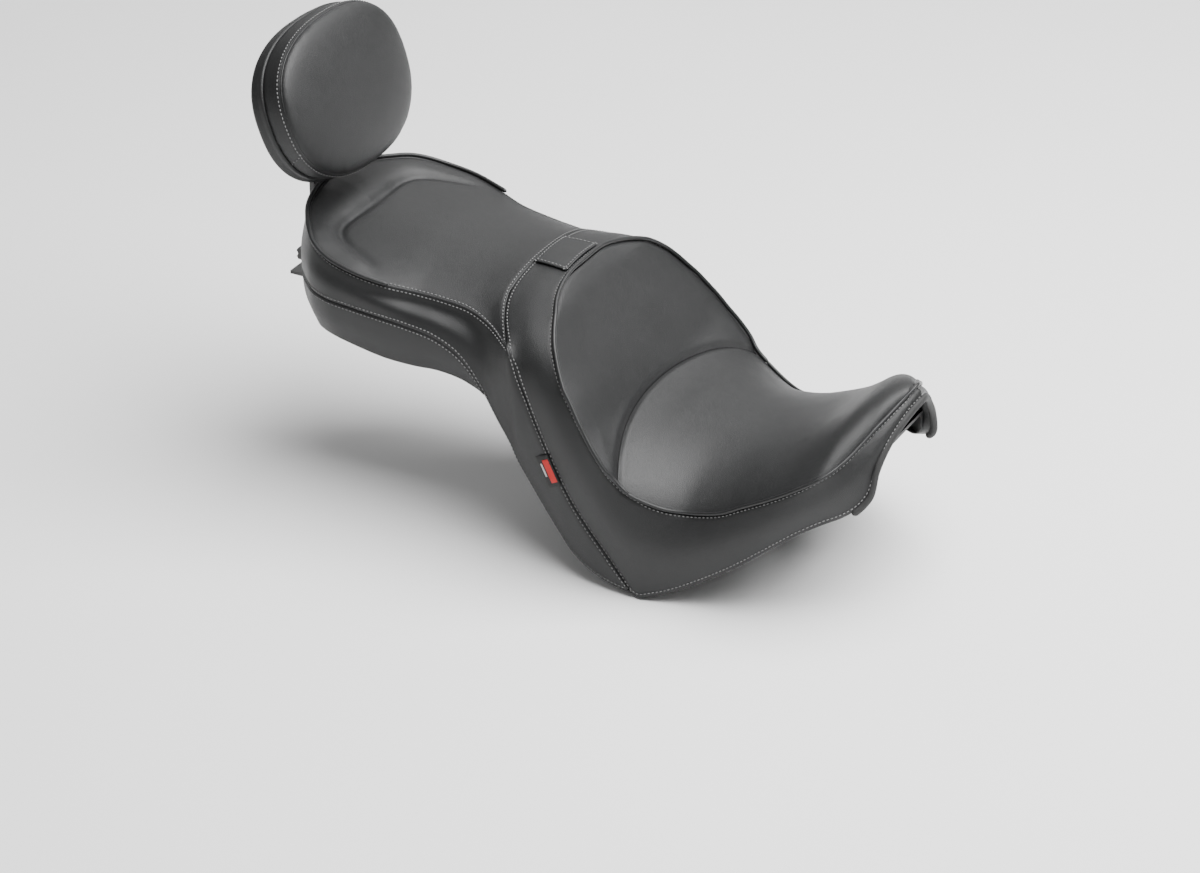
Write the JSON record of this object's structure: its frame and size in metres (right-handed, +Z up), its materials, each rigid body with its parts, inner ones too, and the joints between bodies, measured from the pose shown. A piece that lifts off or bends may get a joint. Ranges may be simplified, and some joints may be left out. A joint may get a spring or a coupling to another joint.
{
  "type": "motorcycle seat",
  "caption": "Two-up touring motorcycle seat with a rider bucket, a raised passenger part, a flap over a backrest socket and a tilting passenger backrest pad on a post.",
  "frame": {"origin": "centre of the fixing hole in the tail tab, half way through the plate", "axes": "+X towards the front wheel, +Y to the rider's left, +Z up"},
  "size_m": [0.8199, 0.3696, 0.5316],
  "materials": {
    "vinyl": "satin grained vinyl",
    "piping": "satin vinyl welt",
    "foam": "moulded polyurethane foam",
    "pan_plastic": "moulded, fine texture",
    "black_steel": "satin black powder coat",
    "zinc_steel": "zinc plated",
    "black_rubber": "matte",
    "knob_plastic": "satin moulded knob",
    "tag_cloth": "woven label",
    "ply_board": "plywood"
  },
  "bodies": {
    "seat": {"rider_back_panel": "vinyl", "rider_seat_panel": "vinyl", "center_band": "vinyl", "right_rider_skirt": "vinyl", "left_rider_skirt": "vinyl", "right_side_gusset": "vinyl", "left_side_gusset": "vinyl", "passenger_top_panel": "vinyl", "passenger_boxing": "vinyl", "passenger_lower_skirt": "vinyl", "rim_piping": "piping", "rider_piping": "piping", "rider_welt": "piping", "rider_foam": "foam", "passenger_foam": "foam", "base_pan": "pan_plastic", "tail_tab": "black_steel", "front_tongue": "black_steel", "post_receiver": "black_steel", "backrest_socket": "black_steel", "socket_bolts": "zinc_steel", "socket_nuts": "zinc_steel", "tab_bolts": "zinc_steel", "tab_nuts": "zinc_steel", "tongue_bolts": "zinc_steel", "tongue_nuts": "zinc_steel", "rubber_bumpers": "black_rubber", "nose_lip": "black_rubber", "side_tag": "tag_cloth"},
    "flap": {"backrest_flap": "vinyl"},
    "backrest": {"backrest_post": "black_steel"},
    "pad": {"tilt_bracket": "black_steel", "pivot_bolt": "zinc_steel", "pivot_nut": "zinc_steel", "bracket_screws": "zinc_steel", "pad_board": "ply_board", "pad_foam": "foam", "pad_face_panel": "vinyl", "pad_boxing_panel": "vinyl", "pad_rear_shell": "pan_plastic"},
    "clamp": {"clamp_screw": "knob_plastic"}
  },
  "joints": [
    {"name": "flap_hinge", "type": "hinge", "parent": "seat", "child": "flap", "pos_m": [0.323, 0, 0.1008], "axis": [0, -1, 0], "range_deg": [0, 110]},
    {"name": "post_lift", "type": "slide", "parent": "seat", "child": "backrest", "axis": [0, 0, 1], "range_m": [0, 0.05]},
    {"name": "pad_tilt", "type": "hinge", "parent": "backrest", "child": "pad", "pos_m": [0.015, 0, 0.19], "axis": [0, 1, 0], "range_deg": [-12, 12]},
    {"name": "clamp_turn", "type": "hinge", "parent": "seat", "child": "clamp", "pos_m": [0.015, -0.025, 0.034], "axis": [0, -1, 0], "range_deg": [0, 180]}
  ]
}
